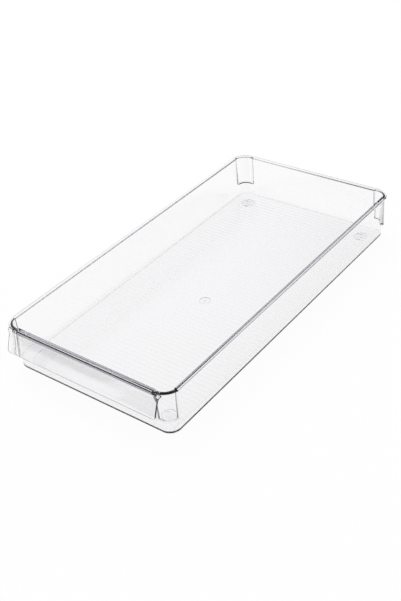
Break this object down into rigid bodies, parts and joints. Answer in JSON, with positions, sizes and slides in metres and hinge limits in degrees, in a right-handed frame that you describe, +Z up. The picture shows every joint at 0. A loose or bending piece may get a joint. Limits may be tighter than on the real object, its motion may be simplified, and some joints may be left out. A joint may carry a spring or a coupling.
{
  "type": "fridge organizer tray",
  "caption": "Shallow clear rectangular tray for a fridge shelf, with a curved pull hanging from its front rim, stepped-out corners, a ribbed floor and soft round feet.",
  "frame": {"origin": "on the shelf, under the middle of the whole tray, pull included", "axes": "+Z up, -Y towards the front with the pull, +X to the right seen from the front"},
  "size_m": [0.2032, 0.4074, 0.0514],
  "materials": {
    "clear_plastic": "clear moulded plastic, polished, with a faint cool grey tint",
    "soft_pad": "translucent soft pad, satin"
  },
  "bodies": {
    "root": {"tray": "clear_plastic", "foot_front_left": "soft_pad", "foot_rear_left": "soft_pad", "foot_front_right": "soft_pad", "foot_rear_right": "soft_pad"}
  },
  "joints": []
}
